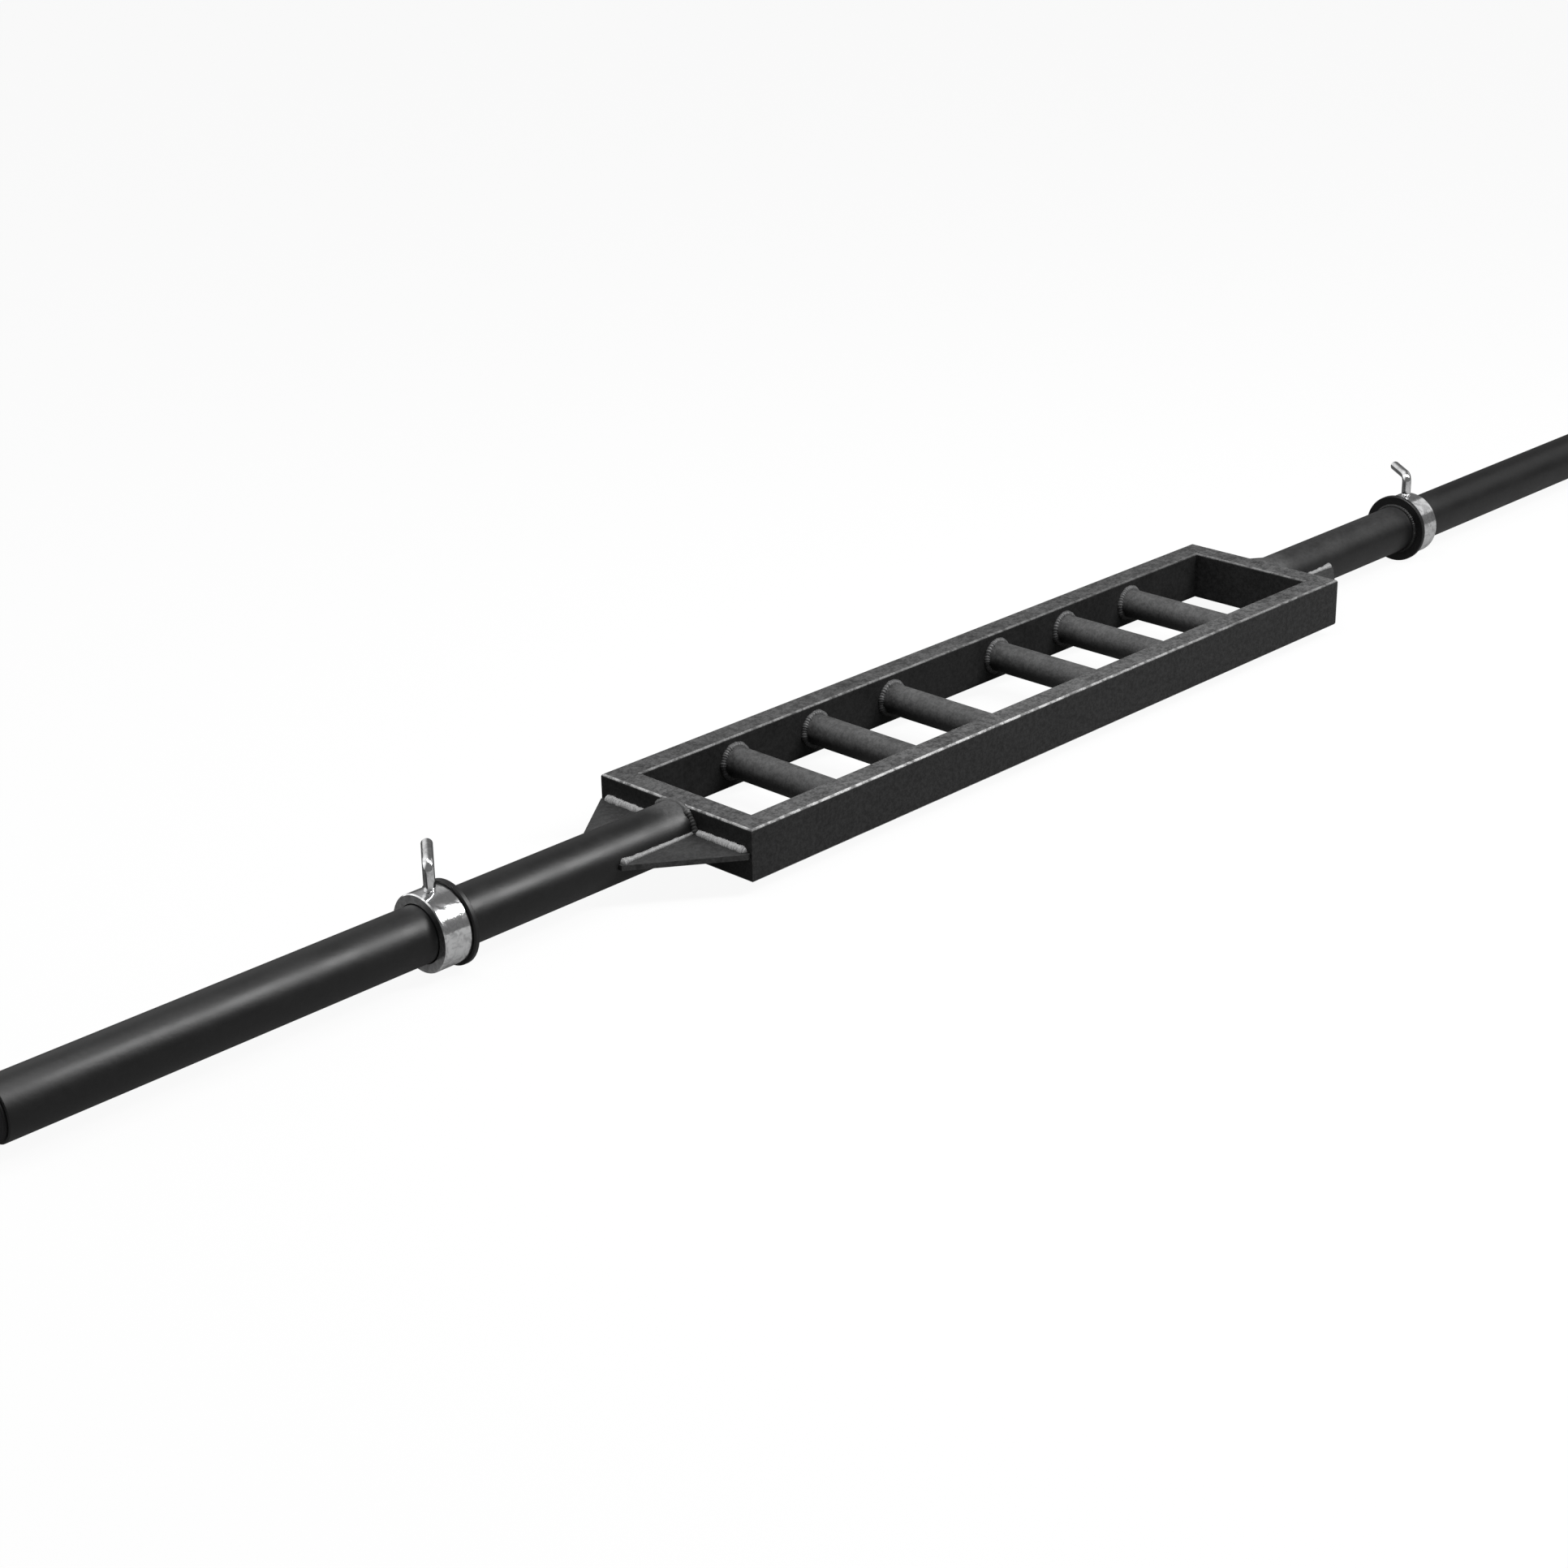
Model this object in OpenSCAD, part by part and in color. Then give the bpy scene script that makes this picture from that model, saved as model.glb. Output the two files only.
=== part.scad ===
// Multi-grip barbell. A welded frame of box section holds six parallel grips,
// and a round tube at each end of it takes the weight plates. A collar with a
// cranked clamp screw is parked against each stop ring.
// Millimetres. X runs along the bar, Y across the frame and Z up. The modules
// draw each piece about the axis of the end tubes, with the bar's middle at
// x = 0, and on_floor() then lifts it so that the stop rings stand on z = 0.

/* [Frame] */
// Length of the frame along the bar, outside to outside
frame_l = 870; // [760:5:1000]
// Width of the frame, outside to outside
frame_w = 188; // [170:1:240]
// Height of the box section
rail_h = 50; // [46:1:60]
// Thickness of the box section, as seen from above
rail_t = 25; // [20:1:32]
// Wall of the box section
rail_wall = 3; // [2:0.5:5]
// Outside corner radius of the box section
rail_r = 3; // [2:0.5:5]
// Inside corner radius of the box section
rail_inner_r = 1.5; // [0.5:0.5:3]

/* [Grips] */
// Outside diameter of a grip
grip_d = 30; // [25:0.5:38]
// Wall of a grip's tube
grip_wall = 3; // [2:0.5:5]
// Distance between the centre lines of the two innermost grips
inner_spacing = 157; // [120:1:200]
// Distance between the centre lines of neighbours in a group of three
grip_pitch = 107; // [85:1:120]

/* [End tubes] */
// Outside diameter of the end tube, as left on the neck
tube_d = 50.8; // [48:0.1:54]
// Wall of the end tube at the neck
tube_wall = 5.4; // [3:0.1:8]
// Depth turned off the tube to make the sleeve that takes the plates
sleeve_cut = 0.4; // [0.3:0.05:1]
// Length of the neck from the frame to the stop ring
neck_l = 253; // [180:1:320]
// Length of the sleeve outside the stop ring
sleeve_l = 422; // [300:1:480]
// Chamfer at the sleeve's outer end
sleeve_chamfer = 1; // [0.5:0.5:2]
// Outside diameter of the stop ring
ring_d = 74; // [70:1:90]
// Thickness of the stop ring
ring_t = 5; // [4:0.5:10]
// Chamfer on the stop ring's rim
ring_chamfer = 0.8; // [0.2:0.1:1.5]

/* [Gussets] */
// Length of a gusset along the tube
gusset_l = 90; // [60:1:140]
// Thickness of a gusset plate
gusset_t = 5; // [4:0.5:8]
// Width of the blunt tips of a gusset
gusset_tip = 3; // [1:0.5:6]
// Distance of a gusset's outer tip from the side of the frame
gusset_inset = 2; // [1:0.5:8]

/* [Weld metal] */
// Leg of the weld beads
bead_leg = 4; // [2:0.5:5]
// Height of a bead's crown over both faces, as a share of its leg
bead_crown = 0.6; // [0.5:0.05:0.8]
// How deep the beads along the tube are sunk into its curve
bead_sink = 1; // [0.5:0.1:1.5]

/* [End caps] */
// Thickness of an end cap's head
cap_t = 2.5; // [2:0.5:6]
// Chamfer on the head's rim
cap_chamfer = 1; // [0.5:0.5:2]
// How far an end cap's head stays inside the sleeve's outline
cap_inset = 2.5; // [0.5:0.5:3.5]
// Length of the plug inside the tube
cap_plug_l = 20; // [10:1:40]
// Gap between the plug and the tube's bore
cap_clear = 0.1; // [0.05:0.05:0.5]

/* [Collars] */
// Outside diameter of a collar
collar_d = 68; // [64:1:80]
// Width of a collar
collar_w = 28; // [20:1:40]
// Gap between the sleeve and the collar's bore
collar_clear = 0.9; // [0.2:0.05:2]
// Chamfer on the collar's edges
collar_chamfer = 1; // [0.5:0.1:2]

/* [Clamp screws] */
// Outside diameter of the clamp screw
screw_d = 10; // [8:0.5:12]
// Gap between the screw and the wall of its hole
screw_clear = 0.05; // [0.02:0.01:0.1]
// Height of the crank's centre line above the collar
crank_rise = 23; // [18:1:40]
// Reach of the crank from the screw's axis to its end
crank_l = 42; // [25:1:60]
// Bend radius at the crank's centre line
bend_r = 7; // [6.5:0.5:10]
// Chamfer at the free end of the crank
crank_chamfer = 1; // [0.5:0.1:2]
// Direction of the crank, from +X towards +Y, in degrees
crank_turn = 52; // [0:1:90]
// Thickness of the shoe under the screw's nose
shoe_t = 1.5; // [1:0.1:2.5]
// How much smaller than the screw the shoe is, all round
shoe_inset = 0.8; // [0.2:0.1:1.5]
// Gap between the shoe and the sleeve, with the clamp loosened
shoe_lift = 0.85; // [0.1:0.05:2]

/* [Hidden] */

$fn = 64;
eps = 1;

left = -1;
right = 1;
front = -1;
back = 1;

frame_end = frame_l / 2;
frame_side = frame_w / 2;
grip_l = frame_w - 2 * rail_t;
tube_r = tube_d / 2;
bore_r = tube_r - tube_wall;
sleeve_r = tube_r - sleeve_cut;
ring_r = ring_d / 2;
collar_r = collar_d / 2;
ring_x = frame_end + neck_l;
sleeve_x = ring_x + ring_t;
tube_end = sleeve_x + sleeve_l;
tube_l = tube_end - frame_end;
gusset_side = frame_side - gusset_inset;
collar_bore_r = sleeve_r + collar_clear;
screw_r = screw_d / 2;
screw_x = sleeve_x + collar_w / 2;
shoe_z = sleeve_r + shoe_lift;
nose_z = shoe_z + shoe_t;
crank_z = collar_r + crank_rise;
grip_x = [
  -inner_spacing / 2 - 2 * grip_pitch,
  -inner_spacing / 2 - grip_pitch,
  -inner_spacing / 2,
  inner_spacing / 2,
  inner_spacing / 2 + grip_pitch,
  inner_spacing / 2 + 2 * grip_pitch
];

powder_black = [0.12, 0.12, 0.13];
zinc = [0.72, 0.73, 0.74];
brass = [0.75, 0.6, 0.3];
cap_black = [0.05, 0.05, 0.05];
weld_grey = [0.3, 0.3, 0.31];

module on_floor() {
  translate([0, 0, ring_r]) children();
}

// Rectangle with round corners, centred on the origin
module round_rect(w, h, r) {
  square([w - 2 * r, h], center = true);
  square([w, h - 2 * r], center = true);
  for (sx = [-1, 1], sy = [-1, 1]) {
    translate([sx * (w / 2 - r), sy * (h / 2 - r)]) circle(r = r);
  }
}

// Box section of length l along X, centred on the origin
module box_section(l) {
  rotate([90, 0, 90]) linear_extrude(height = l, center = true) difference() {
    round_rect(rail_t, rail_h, rail_r);
    round_rect(rail_t - 2 * rail_wall, rail_h - 2 * rail_wall, rail_inner_r);
  }
}

// A member of the frame: box section of outer length l along X, whose outer
// side is at y = w / 2, cut to 45 degrees at both ends
module mitred_member(l, w) {
  intersection() {
    translate([0, w / 2 - rail_t / 2, 0]) box_section(l);
    linear_extrude(height = rail_h + 2 * eps, center = true) polygon([
      [-l / 2, w / 2],
      [l / 2, w / 2],
      [l / 2 - 2 * rail_t, w / 2 - 2 * rail_t],
      [-l / 2 + 2 * rail_t, w / 2 - 2 * rail_t]
    ]);
  }
}

module rail(side) {
  color(powder_black) rotate([0, 0, side == back ? 0 : 180]) mitred_member(frame_l, frame_w);
}

module end_member(side) {
  color(powder_black) rotate([0, 0, side * -90]) mitred_member(frame_w, frame_l);
}

// Tube across the frame, butted against the inner sides of the rails
module grip(number) {
  color(powder_black) translate([grip_x[number - 1], 0, 0]) rotate([90, 0, 0]) difference() {
    cylinder(d = grip_d, h = grip_l, center = true);
    cylinder(d = grip_d - 2 * grip_wall, h = grip_l + 2 * eps, center = true);
  }
}

// What is drawn for the right end, along +X from the frame, or its mirror image
module at_end(side) {
  mirror([side == left ? 1 : 0, 0, 0]) children();
}

// Lays what is drawn along +Z on the bar's axis, from a distance x
module along_bar(x) {
  translate([x, 0, 0]) rotate([0, 90, 0]) children();
}

module tube(side) {
  color(powder_black) at_end(side) along_bar(frame_end) rotate_extrude() polygon([
    [bore_r, 0],
    [tube_r, 0],
    [tube_r, neck_l + ring_t],
    [sleeve_r, neck_l + ring_t],
    [sleeve_r, tube_l - sleeve_chamfer],
    [sleeve_r - sleeve_chamfer, tube_l],
    [bore_r, tube_l]
  ]);
}

// Takes away the room of the neck beside the gussets
module neck_room() {
  along_bar(frame_end - eps) cylinder(r = tube_r, h = gusset_l + 2 * eps);
}

// Plate between the tube and the end member, tips cut blunt
module gusset_plate() {
  difference() {
    linear_extrude(height = gusset_t, center = true) polygon([
      [frame_end, 0],
      [frame_end, gusset_side],
      [frame_end + gusset_tip, gusset_side],
      [frame_end + gusset_l, tube_r + gusset_tip],
      [frame_end + gusset_l, 0]
    ]);
    neck_room();
  }
}

module gusset(side, face) {
  color(powder_black) at_end(side) mirror([0, face == front ? 1 : 0, 0]) gusset_plate();
}

module stop_ring(side) {
  color(powder_black) at_end(side) along_bar(ring_x) rotate_extrude() polygon([
    [tube_r, 0],
    [ring_r - ring_chamfer, 0],
    [ring_r, ring_chamfer],
    [ring_r, ring_t - ring_chamfer],
    [ring_r - ring_chamfer, ring_t],
    [tube_r, ring_t]
  ]);
}

module end_cap(side) {
  plug_r = bore_r - cap_clear;
  head_r = sleeve_r - cap_inset;
  color(cap_black) at_end(side) along_bar(tube_end) rotate_extrude() polygon([
    [0, -cap_plug_l],
    [plug_r, -cap_plug_l],
    [plug_r, 0],
    [head_r, 0],
    [head_r, cap_t - cap_chamfer],
    [head_r - cap_chamfer, cap_t],
    [0, cap_t]
  ]);
}

module collar(side) {
  color(zinc) at_end(side) difference() {
    along_bar(sleeve_x) rotate_extrude() polygon([
      [collar_bore_r, 0],
      [collar_r - collar_chamfer, 0],
      [collar_r, collar_chamfer],
      [collar_r, collar_w - collar_chamfer],
      [collar_r - collar_chamfer, collar_w],
      [collar_bore_r, collar_w]
    ]);
    translate([screw_x, 0, 0]) cylinder(r = screw_r + screw_clear, h = collar_r + eps);
  }
}

// Screw shank, quarter bend and crank in one rod
module clamp_screw(side) {
  bend_z = crank_z - bend_r;
  arm_l = crank_l - bend_r;
  color(zinc) translate([side * screw_x, 0, 0]) rotate([0, 0, crank_turn]) {
    translate([0, 0, nose_z]) cylinder(r = screw_r, h = bend_z - nose_z);
    translate([bend_r, 0, bend_z]) rotate([90, 0, 0]) rotate([0, 0, 90])
      rotate_extrude(angle = 90) translate([bend_r, 0]) circle(r = screw_r);
    translate([bend_r, 0, crank_z]) rotate([0, 90, 0]) rotate_extrude() polygon([
      [0, 0],
      [screw_r, 0],
      [screw_r, arm_l - crank_chamfer],
      [screw_r - crank_chamfer, arm_l],
      [0, arm_l]
    ]);
  }
}

module clamp_shoe(side) {
  color(brass) translate([side * screw_x, 0, shoe_z]) cylinder(r = screw_r - shoe_inset, h = shoe_t);
}

// Section of a weld bead in the corner of two faces that lie along +X and +Y
module bead_section() {
  crown = bead_crown * bead_leg;
  polygon([[0, 0], [bead_leg, 0], [crown, crown], [0, bead_leg]]);
}

// Bead round a shaft of radius r that stands on a face at z = 0
module bead_ring(r) {
  rotate_extrude() translate([r, 0]) bead_section();
}

module grip_welds() {
  color(weld_grey) for (x = grip_x, face = [front, back]) {
    translate([x, face * grip_l / 2, 0]) rotate([face * 90, 0, 0]) bead_ring(grip_d / 2);
  }
}

// Beads on the upper side of the back gusset: one along the tube, sunk into
// its curve, and one along the end member
module gusset_beads() {
  translate([frame_end, tube_r - bead_sink, gusset_t / 2])
    rotate([90, 0, 90]) linear_extrude(height = gusset_l) bead_section();
  translate([frame_end, gusset_side, gusset_t / 2])
    rotate([90, 0, 0]) linear_extrude(height = gusset_side - tube_r) bead_section();
}

// Weld metal at one end of the frame: round the tube's root, as high as the
// flat of the end member, and on both sides of both gussets
module end_welds(side) {
  flat_h = rail_h - 2 * rail_r;
  color(weld_grey) at_end(side) difference() {
    union() {
      intersection() {
        along_bar(frame_end) bead_ring(tube_r);
        translate([frame_end, 0, 0]) cube([2 * (bead_leg + eps), frame_w, flat_h], center = true);
      }
      for (my = [0, 1], mz = [0, 1]) {
        mirror([0, my, 0]) mirror([0, 0, mz]) gusset_beads();
      }
    }
    neck_room();
    gusset_plate();
    mirror([0, 1, 0]) gusset_plate();
  }
}

module stop_ring_welds() {
  color(weld_grey) for (side = [left, right]) {
    at_end(side) translate([ring_x, 0, 0]) rotate([0, -90, 0]) bead_ring(tube_r);
  }
}

on_floor() rail(front);  // front_rail
on_floor() rail(back);  // back_rail
on_floor() end_member(left);  // left_end_member
on_floor() end_member(right);  // right_end_member
on_floor() grip(1);  // grip_1
on_floor() grip(2);  // grip_2
on_floor() grip(3);  // grip_3
on_floor() grip(4);  // grip_4
on_floor() grip(5);  // grip_5
on_floor() grip(6);  // grip_6
on_floor() tube(left);  // left_tube
on_floor() tube(right);  // right_tube
on_floor() gusset(left, front);  // left_front_gusset
on_floor() gusset(left, back);  // left_back_gusset
on_floor() gusset(right, front);  // right_front_gusset
on_floor() gusset(right, back);  // right_back_gusset
on_floor() stop_ring(left);  // left_stop_ring
on_floor() stop_ring(right);  // right_stop_ring
on_floor() end_cap(left);  // left_end_cap
on_floor() end_cap(right);  // right_end_cap
on_floor() collar(left);  // left_collar
on_floor() collar(right);  // right_collar
on_floor() clamp_screw(left);  // left_clamp_screw
on_floor() clamp_screw(right);  // right_clamp_screw
on_floor() clamp_shoe(left);  // left_clamp_shoe
on_floor() clamp_shoe(right);  // right_clamp_shoe
on_floor() grip_welds();
on_floor() end_welds(left);  // left_end_welds
on_floor() end_welds(right);  // right_end_welds
on_floor() stop_ring_welds();
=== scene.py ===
"""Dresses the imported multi-grip barbell: textured black coat, lumpy weld beads,
zinc-plated collars with bent clamp screws, and a plain studio round it."""

import math

import bpy
import numpy as np
from mathutils import Matrix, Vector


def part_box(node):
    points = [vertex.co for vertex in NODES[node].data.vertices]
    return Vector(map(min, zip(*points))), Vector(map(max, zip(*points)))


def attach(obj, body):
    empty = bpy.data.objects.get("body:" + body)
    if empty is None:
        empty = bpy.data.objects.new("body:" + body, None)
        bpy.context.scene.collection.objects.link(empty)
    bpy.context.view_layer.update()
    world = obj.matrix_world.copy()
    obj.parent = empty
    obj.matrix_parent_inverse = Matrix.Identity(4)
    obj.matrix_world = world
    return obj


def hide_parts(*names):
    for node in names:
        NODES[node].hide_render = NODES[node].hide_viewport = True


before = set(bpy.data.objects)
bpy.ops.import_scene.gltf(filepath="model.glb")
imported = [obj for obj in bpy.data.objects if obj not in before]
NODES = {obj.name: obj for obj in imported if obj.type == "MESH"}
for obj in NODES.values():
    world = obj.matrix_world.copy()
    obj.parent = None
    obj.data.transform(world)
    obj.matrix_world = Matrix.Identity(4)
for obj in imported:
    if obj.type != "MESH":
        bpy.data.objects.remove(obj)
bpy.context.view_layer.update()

bl_info = {
    "name": "Multi-grip barbell",
    "version": (1, 0, 0),
    "blender": (4, 5, 0),
    "location": "View3D > Sidebar > Barbell",
    "description": "Coats, welds and plates a multi-grip barbell over its CAD frame",
    "category": "Object",
}

MM = 0.001
AXIS_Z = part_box("left_stop_ring")[1].z / 2
FRAME_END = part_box("front_rail")[1].x
FRAME_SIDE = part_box("back_rail")[1].y
RAIL_T = FRAME_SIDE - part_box("back_rail")[0].y
RAIL_HALF_H = (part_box("front_rail")[1].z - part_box("front_rail")[0].z) / 2
TUBE_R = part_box("left_tube")[1].y
GRIP_R = (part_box("grip_1")[1].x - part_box("grip_1")[0].x) / 2
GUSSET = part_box("right_back_gusset")
GUSSET_END = GUSSET[1].x
GUSSET_SIDE = GUSSET[1].y
GUSSET_HALF_T = (GUSSET[1].z - GUSSET[0].z) / 2
RING_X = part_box("right_stop_ring")[0].x
CORNER_R = 3 * MM
SIDES = {"left": -1, "right": 1}

# Stations along the paths of the beads, and points round a bead and round a rod
TUBE_STATIONS = 340
GRIP_STATIONS = 230
GUSSET_STATIONS = 150
BEAD_POINTS = 28
ROD_POINTS = 56


# ---------------------------------------------------------------- settings


class CoatSettings(bpy.types.PropertyGroup):
    frame_colour: bpy.props.FloatVectorProperty(
        name="Frame coat", description="Colour of the coat on the frame and grips",
        subtype="COLOR", size=3, min=0, max=1, default=(0.0175, 0.0175, 0.0177))
    tube_colour: bpy.props.FloatVectorProperty(
        name="Tube coat", description="Colour of the smoother coat on the end tubes",
        subtype="COLOR", size=3, min=0, max=1, default=(0.004, 0.004, 0.0041))
    # Painted top light: a lighter coat colour laid on the faces that look up, for the light that falls on
    # them; the gussets get a weaker one, as painted shade
    top_light_colour: bpy.props.FloatVectorProperty(
        name="Painted top light", description="Colour of the painted top light on the faces that look up",
        subtype="COLOR", size=3, min=0, max=1, default=(0.078, 0.078, 0.0785))
    gusset_top_light: bpy.props.FloatVectorProperty(
        name="Painted top light, gussets", description="Colour of the weaker painted top light on the gussets",
        subtype="COLOR", size=3, min=0, max=1, default=(0.028, 0.028, 0.0283))
    weld_sheen_colour: bpy.props.FloatVectorProperty(
        name="Weld sheen", description="Colour of the grip beads' coat, lighter as a painted highlight",
        subtype="COLOR", size=3, min=0, max=1, default=(0.080, 0.080, 0.081))
    bright_weld: bpy.props.FloatVectorProperty(
        name="Weld highlight", description="Colour of the painted highlight on the gussets' beads",
        subtype="COLOR", size=3, min=0, max=1, default=(0.56, 0.56, 0.562))
    edge_highlight_colour: bpy.props.FloatVectorProperty(
        name="Painted edge highlight", description="Colour of the painted highlight on the box section's rounded edges",
        subtype="COLOR", size=3, min=0, max=1, default=(0.62, 0.62, 0.62))


class WeldSettings(bpy.types.PropertyGroup):
    bead_radius: bpy.props.FloatProperty(
        name="Bead radius", description="Radius of a weld bead about the corner that it fills",
        unit="LENGTH", min=0.001, max=0.006, default=3.5 * MM)
    ripple_pitch: bpy.props.FloatProperty(
        name="Ripple pitch", description="Distance between the ripples of a bead",
        unit="LENGTH", min=0.0008, max=0.005, default=2.3 * MM)


class ScrewSettings(bpy.types.PropertyGroup):
    radius: bpy.props.FloatProperty(
        name="Rod radius", description="Radius of the rod that the clamp screw is bent from",
        unit="LENGTH", min=0.003, max=0.006, default=5 * MM)
    bend_radius: bpy.props.FloatProperty(
        name="Bend radius", description="Bend radius at the rod's centre line",
        unit="LENGTH", min=0.005, max=0.012, default=7 * MM)
    reach: bpy.props.FloatProperty(
        name="Reach", description="Distance from the screw's axis to the crank's free end",
        unit="LENGTH", min=0.02, max=0.06, default=42 * MM)
    turn: bpy.props.FloatProperty(
        name="Direction", description="Direction of the crank, from along the bar towards the back",
        subtype="ANGLE", min=0, max=math.pi / 2, default=math.radians(52))
    thread_pitch: bpy.props.FloatProperty(
        name="Thread pitch", description="Feed of the thread in one turn",
        unit="LENGTH", min=0.001, max=0.002, default=1.5 * MM)
    thread_depth: bpy.props.FloatProperty(
        name="Thread depth", description="Depth of the thread's groove",
        unit="LENGTH", min=0.0003, max=0.0012, default=0.8 * MM)


class PlateSettings(bpy.types.PropertyGroup):
    zinc_colour: bpy.props.FloatVectorProperty(
        name="Zinc", description="Colour of the bright zinc plate",
        subtype="COLOR", size=3, min=0, max=1, default=(0.94, 0.945, 0.95))
    dull_colour: bpy.props.FloatVectorProperty(
        name="Dull zinc", description="Colour of the duller patches of the plate",
        subtype="COLOR", size=3, min=0, max=1, default=(0.62, 0.62, 0.625))


class StudioSettings(bpy.types.PropertyGroup):
    lens: bpy.props.FloatProperty(
        name="Lens", description="Focal length on a 36 mm sensor",
        unit="CAMERA", min=10, max=200, default=66.33)
    overhead_power: bpy.props.FloatProperty(
        name="Overhead softbox", description="Power of the lamp over the bar",
        unit="POWER", min=0, max=1000, default=23)
    key_power: bpy.props.FloatProperty(
        name="Key softbox", description="Power of the lamp in front and to the right",
        unit="POWER", min=0, max=1000, default=66)
    side_power: bpy.props.FloatProperty(
        name="Side softbox", description="Power of the distant lamp at the right end",
        unit="POWER", min=0, max=1000, default=5.5)
    room_level: bpy.props.FloatProperty(
        name="Room", description="Brightness of the dim room that the bar mirrors",
        min=0, max=1, default=0.15)
    wall_level: bpy.props.FloatProperty(
        name="Lit wall", description="Brightness added by the lit wall behind the bar",
        min=0, max=2, default=1.0)
    soft_share: bpy.props.FloatProperty(
        name="Soft share", description="Share of the room's brightness that lights the bar softly",
        subtype="FACTOR", min=0, max=1, default=0.6)


SETTINGS = {
    "barbell_coat": CoatSettings,
    "barbell_weld": WeldSettings,
    "barbell_screw": ScrewSettings,
    "barbell_plate": PlateSettings,
    "barbell_studio": StudioSettings,
}


# ---------------------------------------------------------------- surfaces


def scallops(q):
    """Row of round humps with sharp valleys: one less the square of the signed
    distance from the middle of each whole step of q, in half steps."""
    return 1 - (2 * (q % 1) - 1) ** 2


def lumps(s, seed):
    """Slow unevenness along s: three sine waves whose lengths share no common
    multiple, with phases taken from the seed."""
    waves = [(9.1, 1.0), (14.7, 0.8), (25.3, 0.6)]
    return sum(share * np.sin(2 * np.pi * s / (length * MM) + 2.4 * seed + length)
               for length, share in waves) / 2.4


def sweep(centres, across, upward, radius, closed):
    """Closed skin round a path. Station i, angle t lies at the centre plus
    radius(i, t) times (across cos t + upward sin t). An open path is closed by
    a fan to a pole at each end, a closed one joins its last station to its first."""
    n, m = radius.shape
    t = np.linspace(0, 2 * np.pi, m, endpoint=False)
    ring = across[:, None] * np.cos(t)[None, :, None] + upward[:, None] * np.sin(t)[None, :, None]
    points = (centres[:, None] + radius[..., None] * ring).reshape(-1, 3)
    last = n if closed else n - 1
    i, j = np.meshgrid(np.arange(last), np.arange(m), indexing="ij")
    a, b = i * m + j, i * m + (j + 1) % m
    c, d = ((i + 1) % n) * m + (j + 1) % m, ((i + 1) % n) * m + j
    quads = np.stack([a, b, c, d], -1).reshape(-1, 4)
    fans = np.zeros((0, 3), int)
    if not closed:
        points = np.concatenate([points, centres[[0, -1]]])
        k = np.arange(m)
        low = np.stack([(k + 1) % m, k, np.full(m, n * m)], -1)
        high = np.stack([(n - 1) * m + k, (n - 1) * m + (k + 1) % m, np.full(m, n * m + 1)], -1)
        fans = np.concatenate([low, high])
    return outward(points, quads, fans)


def outward(points, quads, fans):
    """Turns all faces over if the volume that they enclose, the sum of the
    tetrahedra from the origin, comes out negative."""
    tris = np.concatenate([quads[:, [0, 1, 2]], quads[:, [0, 2, 3]], fans])
    p = points[tris]
    if np.einsum("ij,ij->i", p[:, 0], np.cross(p[:, 1], p[:, 2])).sum() < 0:
        return points, quads[:, ::-1], fans[:, ::-1]
    return points, quads, fans


def make_piece(name, skins, material, body, nodes, crease=50):
    """One mesh object of several closed skins, in place in its mesh, that rides
    on a body and stands for its CAD nodes."""
    points, faces, start = [], [], 0
    for p, quads, fans in skins:
        points.append(p)
        faces += (quads + start).tolist() + (fans + start).tolist()
        start += len(p)
    mesh = bpy.data.meshes.new(name)
    mesh.from_pydata(np.concatenate(points), [], faces)
    mesh.polygons.foreach_set("use_smooth", np.ones(len(faces), bool))
    mesh.set_sharp_from_angle(angle=math.radians(crease))
    mesh.materials.append(material)
    mesh.update()
    piece = bpy.data.objects.new(name, mesh)
    bpy.context.scene.collection.objects.link(piece)
    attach(piece, body)
    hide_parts(*nodes)
    return piece


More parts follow.
